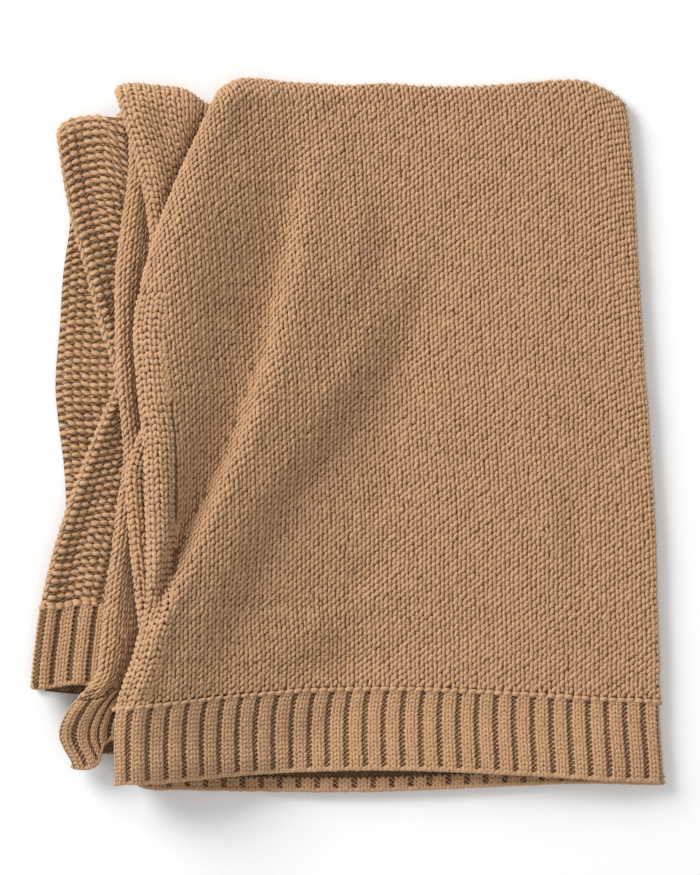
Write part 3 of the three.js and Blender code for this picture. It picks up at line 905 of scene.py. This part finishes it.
@dataclass(frozen=True)
class YarnFinish:
    """Soft matt plied yarn."""

    name: str
    light: tuple
    dark: tuple
    tone_share: float = 0.6
    mottle_scale: float = 55.0
    fibre_scale: float = 1400.0
    plies: float = 2.0
    twist: float = 2.0
    twist_depth: float = 0.35
    twist_size: float = 0.4 * MM
    fuzz_depth: float = 0.25
    fuzz_size: float = 0.5 * MM
    roughness: float = 0.92
    sheen: float = 0.25
    sheen_roughness: float = 0.6
    specular: float = 0.2

    def material(self) -> bpy.types.Material:
        """Makes the node material."""
        tree = NodeTree(self.name)
        tree.feed(tree.shader, {"Roughness": self.roughness, "Sheen Weight": self.sheen,
                                "Sheen Roughness": self.sheen_roughness,
                                "Specular IOR Level": self.specular})
        tone = tree.add("ShaderNodeAttribute")
        tone.attribute_name = "tone"
        place = tree.add("ShaderNodeTexCoord").outputs["Object"]
        mottle = tree.add("ShaderNodeTexNoise", {"Scale": self.mottle_scale, "Detail": 3.0,
                                                 "Vector": place})
        patchy = tree.math("MULTIPLY", mottle.outputs["Fac"], 1 - self.tone_share)
        shade = tree.math("MULTIPLY_ADD", tone.outputs["Fac"], self.tone_share, patchy)
        tree.colour(self.dark, self.light, shade)
        lengthwise, around = tree.map("yarn")
        along = tree.math("MULTIPLY", lengthwise, self.twist * 2 * math.pi)
        turn = tree.math("MULTIPLY_ADD", around, self.plies * 2 * math.pi, along)
        ply = tree.bump(self.twist_depth, self.twist_size, {"Height": tree.math("SINE", turn)})
        fibre = tree.add("ShaderNodeTexNoise", {"Scale": self.fibre_scale, "Detail": 4.0,
                                                "Vector": place})
        fuzz = tree.bump(self.fuzz_depth, self.fuzz_size,
                         {"Height": fibre.outputs["Fac"], "Normal": ply})
        tree.feed(tree.shader, {"Normal": fuzz})
        return tree.material


@dataclass(frozen=True)
class PaintedShadeFinish:
    """Painted shade for the depth of the knit between its stitches: a dark colour on the ground
    sheet that shows through their gaps.
    """

    name: str
    light: tuple
    dark: tuple
    wale: float
    course: float
    depth: float = 0.8
    size: float = 2 * MM
    roughness: float = 0.95
    specular: float = 0.15

    def material(self) -> bpy.types.Material:
        """Makes the node material."""
        tree = NodeTree(self.name)
        tree.feed(tree.shader, {"Roughness": self.roughness,
                                "Specular IOR Level": self.specular})
        wales, courses = (
            tree.math("SINE", tree.math("MULTIPLY", place, 2 * math.pi / (pitch * MM)))
            for place, pitch in zip(tree.map("cloth"), (self.wale, self.course))
        )
        bumps = tree.math("MULTIPLY_ADD", wales, courses, 0.5)
        # the colour darkens where this wale and course pattern is low: painted shade in its small
        # hollows
        tree.colour(self.dark, self.light, bumps)
        normal = tree.bump(self.depth, self.size, {"Height": bumps})
        tree.feed(tree.shader, {"Normal": normal})
        return tree.material


def dress(obj: bpy.types.Object, material: bpy.types.Material) -> bpy.types.Object:
    """Gives a piece its material and its place in the frame."""
    obj.data.materials.append(material)
    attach(obj, "root")
    return obj


@dataclass
class GroundSheet:
    """A plain sheet in the middle of the knit, under its stitches; its dark material shows through
    their gaps as painted shade.
    """

    name: str
    cloth: FoldedCloth
    paths: np.ndarray
    alongs: tuple
    thick: float

    def build(self, profile: np.ndarray | None = None) -> bpy.types.Object:
        """Makes the sheet.

        Args:
            profile: how far each column stands out of the middle surface, in millimetres.

        Returns:
            The object, at the origin.
        """
        rows, columns = len(self.alongs), len(self.paths)
        mesh = grid_mesh(self.name, columns - 1, rows - 1, 1.0)
        flat = np.zeros(len(mesh.vertices) * 3)
        mesh.vertices.foreach_get("co", flat)
        flat = flat.reshape(-1, 3)
        i = np.rint((flat[:, 0] + 1) / 2 * (columns - 1)).astype(int)
        j = np.rint((flat[:, 1] + 1) / 2 * (rows - 1)).astype(int)
        points = np.stack([self.cloth.point(self.paths, along) for along in self.alongs])
        if profile is not None:
            points = points + facing(points) * profile[None, :, None]
        points[..., 2] = np.maximum(points[..., 2], self.thick / 2)
        mesh.vertices.foreach_set("co", (points[j, i] * MM).ravel())
        lengths, heights = run(points, 1).mean(axis=0), run(points, 0).mean(axis=1)
        corners = np.zeros(len(mesh.loops), dtype=np.int32)
        mesh.loops.foreach_get("vertex_index", corners)
        uv = np.stack([lengths[i[corners]], heights[j[corners]]], axis=1) * MM
        mesh.uv_layers.new(name="cloth").data.foreach_set("uv", uv.ravel())
        mesh.polygons.foreach_set("use_smooth", np.ones(len(mesh.polygons), dtype=bool))
        mesh.update()
        obj = place_object(self.name, mesh)
        gauge = obj.modifiers.new("gauge", "SOLIDIFY")
        gauge.thickness = self.thick * MM
        gauge.offset = 0.0
        gauge.use_even_offset = False
        log.info("%s: %d faces", self.name, len(mesh.polygons))
        return obj


@dataclass
class KnitPart:
    """A knitted part of the throw: a ground sheet covered with yarn."""

    cloth: FoldedCloth

    def build(self, yarn: bpy.types.Material, ground: bpy.types.Material) -> list:
        """Builds and dresses the part.

        Args:
            yarn: the stitches' material.
            ground: the ground sheet's material, which paints the shade between the stitches.

        Returns:
            Its pieces.
        """
        base = dress(self.ground(), ground)
        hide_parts(self.node)
        stitches = [dress(piece, yarn) for piece in self.knit()]
        return [base, *stitches]


@dataclass
class KnitBody(KnitPart):
    """The plain knitted sheet of the throw."""

    node: str = "knit_body"
    slot: str = "knit"
    wale: float = 8.0
    course: float = 5.9
    edge_wale: float = 8.8
    edge_strip: float = 26.0
    strip_top: float = 128.0
    tuck: float = 14.0
    uneven: float = 1.25
    purl_wale: float = 8.2
    purl_course: float = 7.3
    thick: float = 1.2
    first_row: float = 0.5
    first_seed: int = 11
    splits: tuple = (0.5, 0.75)
    layer_steps: dict = field(default_factory=lambda: {"main": 44, "back": 30})
    other_steps: int = 12
    fold_steps: int = 6
    half_rows: int = 45
    turn_rows: int = 12
    flat: tuple = (1.48, 1.122)

    def ground(self) -> bpy.types.Object:
        """The sheet under the stitches."""
        plan = self.cloth.plan
        paths = [0.0]
        for k in range(len(LAYERS)):
            steps = self.layer_steps.get(LAYERS[k], self.other_steps)
            paths += list(2 * k + np.linspace(0, 1, steps + 1)[1:])
            if k < len(LAYERS) - 1:
                paths += list(2 * k + 1 + np.linspace(0, 1, self.fold_steps + 1)[1:-1])
                paths.append(2 * k + 2)
        paths = np.array(paths)
        start = plan.border + plan.link_gap
        front, back = (start / (self.cloth.turn_line(paths) - plan.hem(paths, half))
                       for half in Half)
        rows = np.linspace(0, 1, self.half_rows)
        alongs = [front + (1 - front) * f for f in rows]
        alongs += [np.full_like(paths, 1 + f) for f in np.linspace(0, 1, self.turn_rows)[1:-1]]
        alongs += [3 - back - (1 - back) * (1 - f) for f in rows]
        return GroundSheet("knit_ground", self.cloth, paths, tuple(alongs), self.thick).build()

    def patches(self) -> dict:
        """The visible faces of the folded sheet."""
        start = self.cloth.plan.border + self.cloth.plan.link_gap + self.first_row
        knit, edge, purl = ((self.wale, self.course), (self.edge_wale, self.course),
                            (self.purl_wale, self.purl_course))
        ends = {
            "main": (("main_under", 1.3), ("back", 0.06), ("main", 1.5), knit),
            "edge": (("main_under", 1.2), ("main", 0.14), ("main_under", 1.5), edge),
            "second": (("second_under", 1.1), ("second", 0.9), ("second_under", 1.5), edge),
            "roll": (("tail", 1.1), ("roll", 0.9), ("tail", 1.5), knit),
            "back": (("back", 0.7), ("back_under", 0.05), ("back", 1.5), purl),
            "last": (("last", 0.1), ("last", 1.0), ("last", 1.0), purl),
        }
        return {name: Patch(self.cloth, path_of(*low), path_of(*high), path_of(*ref), *gauge,
                            start=start) for name, (low, high, ref, gauge) in ends.items()}

    def shown(self, name: str, patch: Patch, a: np.ndarray, b: np.ndarray) -> np.ndarray:
        """Which stitches of a patch no other layer covers."""
        points, _ = patch.surface(a + 0.5, b)
        x, y = points[:, 0], points[:, 1]
        strip = np.where(y < self.strip_top, self.edge_strip, -self.edge_strip)
        inner = x - self.cloth.plan.fold_lines.at(y, 2) > strip
        if name == "main":
            return inner
        if name == "edge":
            return ~inner
        return x < self.cloth.plan.cover(name, y) + self.tuck

    def knit(self) -> list:
        """Lays every visible stitch.

        Returns:
            The joined pieces of yarn.
        """
        fine = GrainShape(5, 4)
        coarse = GrainShape(3, 3)
        # a, b, lean, length, width, height, rise
        plain = (YarnLay(0.26, 0.5, 5, 8.2, 1.9, 1.6, 0.95),
                 YarnLay(0.76, 0.95, 23, 8.9, 2.0, 1.8, 1.15))
        open_v = tuple(YarnLay(a, 0.5, lean, 8.7, 2.1, 1.7, 1.1) for a, lean in
                       ((0.27, -25), (0.74, 25)))
        purl = (YarnLay(0.5, 0.3, 73, 11.6, 2.45, 2.0, 1.2),
                YarnLay(0.0, 0.8, 80, 7.0, 1.2, 1.0, 0.1))
        lays = {"main": plain, "edge": open_v, "second": open_v, "roll": plain,
                "back": purl, "last": purl}
        pieces = []
        for seed, (name, patch) in enumerate(self.patches().items()):
            knitter = Knitter(seed + self.first_seed)
            a, b = patch.stitches()
            keep = self.shown(name, patch, a, b)
            a, b = a[keep], b[keep]
            face = Face.PURL if name in ("back", "last") else Face.KNIT
            along = patch.place(a + 0.5, b)
            groups = {"upper": (along < MID_TURN, fine)}
            if name == "main":
                low, high = self.splits
                groups = {"near": (along < low, fine),
                          "middle": ((along >= low) & (along < high), fine),
                          "far": ((along >= high) & (along < MID_TURN), fine)}
            groups["under"] = (along >= MID_TURN, coarse)
            for group, (mask, shape) in groups.items():
                mesh = YarnMesh(f"{name}_stitches_{group}")
                rim = mask & (a == -1) & (name == "back")
                for lay in lays[name]:
                    knitter.lay(mesh, patch, a[mask & ~rim], b[mask & ~rim], lay, shape, face,
                                self.uneven)
                for lay in open_v:
                    knitter.lay(mesh, patch, a[rim], b[rim], lay, shape, face)
                if mesh.count:
                    pieces.append(mesh.build())
        return pieces


@dataclass
class RibBorder(KnitPart):
    """A ribbed border, two plain wales and a purl groove to each rib."""

    half: Half
    node: str
    slot: str = "rib"
    rib: float = 17.07
    course: float = 73 / 18
    depth: float = 1.5
    thick: float = 1.2
    # inside the mouth the back border gets stitches on only its first courses; above them the bare
    # dark ground shows as painted shade
    mouth_courses: int = 3
    tuck: float = 16.0
    samples: int = 3600
    middle: float = 0.06
    column_half: float = 0.17
    leg_half: float = 0.085
    rib_onset: float = 12.0
    squareness: float = 1.8
    bead_pitch: float = 5.0
    link_pitch: float = 8.2
    row_inset: float = 0.2
    leg_uneven: float = 0.45
    groove_uneven: float = 0.8
    edge_uneven: float = 0.7
    first_seed: int = 41
    ground_rows: int = 10
    columns_a_rib: int = 6
    flat: tuple = (1.48, 0.073)

    def _ribbed(self, paths: np.ndarray) -> np.ndarray:
        """How strongly the ribs show at places along the path."""
        spans = ((path_of("tail", 1), path_of("roll", 1)), (path_of("main_under", 1), PATH_END))
        inside = [np.minimum(paths - low, high - paths) for low, high in spans]
        return smooth_step(np.max(inside, axis=0) * self.rib_onset + 0.5)

    def ground(self) -> bpy.types.Object:
        """The waved sheet under the ribs."""
        plan = self.cloth.plan
        fine, lengths = self._lengths()
        count = int((lengths[-1] - lengths[0]) / (self.rib / self.columns_a_rib))
        paths = np.interp(np.linspace(lengths[0], lengths[-1], count), lengths, fine)
        reach = self.cloth.turn_line(paths) - plan.hem(paths, self.half)
        shares = [d / reach for d in np.linspace(0, plan.border, self.ground_rows)]
        if self.half is Half.BACK:
            shares = [3 - share for share in reversed(shares)]
        profile = self.depth * self._wave(paths) * self._ribbed(paths)
        return GroundSheet(f"{self.node}_ground", self.cloth, paths, tuple(shares),
                           self.thick).build(profile)

    def _lengths(self) -> tuple:
        """Lengths along the hem at closely spaced path numbers, from the right-hand fold."""
        fine = np.linspace(0, PATH_END, self.samples)
        share = self.middle if self.half is Half.FRONT else 3 - self.middle
        points = self.cloth.point(fine, np.full_like(fine, share))
        lengths = run(points, 0)
        return fine, lengths - np.interp(path_of("main", 1.5), fine, lengths)

    def _wave(self, paths: np.ndarray) -> np.ndarray:
        """The rib's rise and fall, from -1 to 1, at places along the path."""
        fine, lengths = self._lengths()
        place = np.interp(paths, fine, lengths) / self.rib
        swing = np.cos(2 * math.pi * (place - 0.5))
        return np.tanh(swing * self.squareness + 0.5) / math.tanh(self.squareness)

    def patches(self) -> dict:
        """The visible faces of the border."""
        ends = {
            "main": (path_of("main_under", 1.2), path_of("back", 0.06), path_of("main", 1.5)),
            "roll": (path_of("tail", 1.1), path_of("roll", 0.9), path_of("tail", 1.5)),
            "back": (path_of("main", 1.5), path_of("back_under", 0.05), path_of("main", 1.5)),
        }
        return {
            name: Patch(self.cloth, low, high, ref, wale=self.rib, course=self.course,
                        half=self.half, span=self.cloth.plan.border)
            for name, (low, high, ref) in ends.items()
        }

    def knit(self) -> list:
        """Lays the ribs, the grooves and the cast-off edge."""
        small = GrainShape(4, 3)
        shape = GrainShape(5, 4) if self.half is Half.FRONT else small
        pieces = []
        for seed, (name, patch) in enumerate(self.patches().items()):
            knitter = Knitter(seed + self.first_seed + 10 * self.half.value)
            face = Face.PURL if name == "back" else Face.KNIT
            a, b = patch.stitches()
            if face is Face.PURL:
                a = a - 0.5
            keep = self._shown(name, patch, a + 0.5, b)
            a, b = a[keep], b[keep]
            mesh = YarnMesh(f"{self.node}_{name}_ribs")
            # a, b, lean, length, width, height, rise
            for column in (-1, 1):
                for side in (-1, 1):
                    outer = 0.5 if column == side else 0.0
                    place = 0.5 + column * self.column_half + side * self.leg_half
                    leg = YarnLay(place, 0.5, side * 26, 7.2, 1.65, 1.5, self.depth + 0.9 - outer)
                    knitter.lay(mesh, patch, a, b, leg, shape, face, self.leg_uneven)
            for side in (-self.leg_half, self.leg_half):
                bump = YarnLay(side, 0.5 + side * 3, 70, 4.4, 1.45, 1.3, -self.depth + 1.6)
                knitter.lay(mesh, patch, a, b, bump, GrainShape(3, 3), face,
                            self.groove_uneven)
            hem, joint, inset = 0.0, patch.last, self.row_inset
            if self.half is Half.BACK:
                hem, joint, inset = joint, hem, -inset
            bead = YarnLay(0, 0, 84, 8.8, 2.3, 3.0, 0.4, arch=0.1)
            link = YarnLay(0, 0, 82, 9.6, 2.5, 2.4, 2.7, arch=0.4)
            rows = [(bead, hem + inset, self.bead_pitch)]
            if name != "roll":
                rows.append((link, joint + inset, self.link_pitch))
            for lay, place, pitch in rows:
                edge_a = np.arange(patch.columns[0], patch.columns[-1], pitch / self.rib)
                edge_b = np.full_like(edge_a, place)
                keep = patch.holds(edge_a, edge_b) & self._shown(name, patch, edge_a, edge_b)
                knitter.lay(mesh, patch, edge_a[keep], edge_b[keep], lay, shape, face,
                            self.edge_uneven)
            if mesh.count:
                pieces.append(mesh.build())
        return pieces

    def _shown(self, name: str, patch: Patch, a: np.ndarray, b: np.ndarray) -> np.ndarray:
        """Which places of a patch no other layer covers."""
        if name == "main":
            return np.ones(len(a), dtype=bool)
        points, _ = patch.surface(a, b)
        # stitches stop after the first courses in the mouth, so the dark ground above them stands
        # for the shade under the front hem
        in_mouth = (name == "back") & (self.half is Half.FRONT) & (b < self.mouth_courses)
        return (points[:, 0] < self.cloth.plan.cover(name, points[:, 1]) + self.tuck) | in_mouth


@dataclass
class Studio:
    """The pale floor, the soft light and the camera straight above."""

    scale: float = 0.907 * MM
    centre: tuple = (1.97 * MM, -0.95 * MM)
    height: float = 5.0
    focus: float = 0.05
    tall: int = 875
    sensor: float = 36.0
    floor_size: float = 6.0
    sky: float = 0.40
    # name, place, size and power
    lamps: tuple = (("key", (-4.2, 3.5, 3.5), 3.5, 430.0), ("fill", (0.6, -1.6, 4.8), 3.0, 40.0))

    def camera(self) -> None:
        """Sets up the camera that looks straight down."""
        data = bpy.data.cameras.new("camera")
        data.sensor_width = self.sensor
        data.lens = self.sensor * (self.height - self.focus) / (self.tall * self.scale)
        data.clip_end = 50.0
        camera = place_object("camera", data)
        camera.location = (*self.centre, self.height)
        bpy.context.scene.camera = camera

    def floor(self) -> None:
        """Makes the plain pale floor."""
        mesh = grid_mesh("floor", 1, 1, self.floor_size)
        floor = place_object("floor", mesh)
        tree = NodeTree("pale_floor")
        tree.feed(tree.shader, {"Base Color": (0.97, 0.97, 0.97, 1.0), "Roughness": 0.9,
                                "Emission Color": (1.0, 1.0, 1.0, 1.0),
                                "Emission Strength": 0.05})
        mesh.materials.append(tree.material)

    def lamp(self, name: str, place: tuple, size: float, power: float) -> None:
        """Adds a square lamp that points at the throw."""
        data = bpy.data.lights.new(name, "AREA")
        data.shape = "SQUARE"
        data.size = size
        data.energy = power
        lamp = place_object(name, data)
        lamp.location = place
        lamp.rotation_mode = "QUATERNION"
        lamp.rotation_quaternion = (-Vector(place)).to_track_quat("-Z", "Y")

    def light(self) -> None:
        """Sets the lamps and the even light all round."""
        for lamp in self.lamps:
            self.lamp(*lamp)
        world = bpy.data.worlds.new("studio")
        world.use_nodes = True
        sky = world.node_tree.nodes["Background"].inputs
        sky["Color"].default_value = (1, 1, 1, 1)
        sky["Strength"].default_value = self.sky
        bpy.context.scene.world = world
        bpy.context.scene.view_settings.view_transform = "Standard"

    def build(self) -> None:
        """Builds the whole studio."""
        self.camera()
        self.floor()
        self.light()


def main() -> None:
    """Builds the studio, the knitted sheet and its borders, and reports each piece."""
    logging.basicConfig(level=logging.INFO, format="%(message)s")
    Studio().build()
    cloth = FoldedCloth()
    yarn = YarnFinish("camel_yarn", light=CAMEL, dark=DEEP_CAMEL).material()
    rib_yarn = YarnFinish("rib_yarn", light=CAMEL, dark=DEEP_CAMEL).material()
    # the ground sheets' colours, darker than the yarn, are painted shade between the stitches
    ground = PaintedShadeFinish("knit_painted_shade", light=(0.30, 0.17, 0.085), dark=SHADE,
                          wale=KnitBody.wale, course=KnitBody.course).material()
    rib_ground = PaintedShadeFinish("rib_painted_shade", light=(0.36, 0.21, 0.11), dark=SHADE,
                              wale=4.0, course=4.1).material()
    made = KnitBody(cloth).build(yarn, ground)
    made += RibBorder(cloth, Half.FRONT, "rib_border_front").build(rib_yarn, rib_ground)
    made += RibBorder(cloth, Half.BACK, "rib_border_back").build(rib_yarn, rib_ground)
    for piece in made:
        log.info("made %s", piece.name)


if __name__ == "__main__":
    main()
